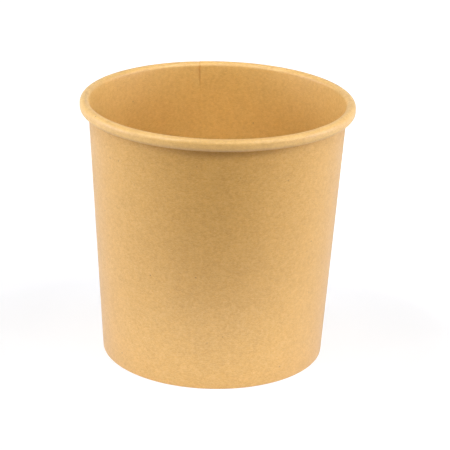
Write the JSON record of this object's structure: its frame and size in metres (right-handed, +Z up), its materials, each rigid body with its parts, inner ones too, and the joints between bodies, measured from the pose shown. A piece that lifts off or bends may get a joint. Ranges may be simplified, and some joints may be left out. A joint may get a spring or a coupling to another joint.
{
  "type": "paper soup cup",
  "caption": "Tapered round kraft paper soup cup, open at the top, with an outward rolled rim, a lapped side seam and a recessed floor held in a folded foot.",
  "frame": {"origin": "centre of the foot ring, on the plane that the cup stands on", "axes": "+Z up along the cup's axis, -Y to the front of the picture, the side seam at the back a little to the left"},
  "size_m": [0.09, 0.09, 0.0872],
  "materials": {
    "kraft_wall": "uncoated kraft board outside, thin film inside",
    "kraft_floor": "kraft board with a thin film"
  },
  "bodies": {
    "root": {"side_wall": "kraft_wall", "bottom_disc": "kraft_floor"}
  },
  "joints": []
}
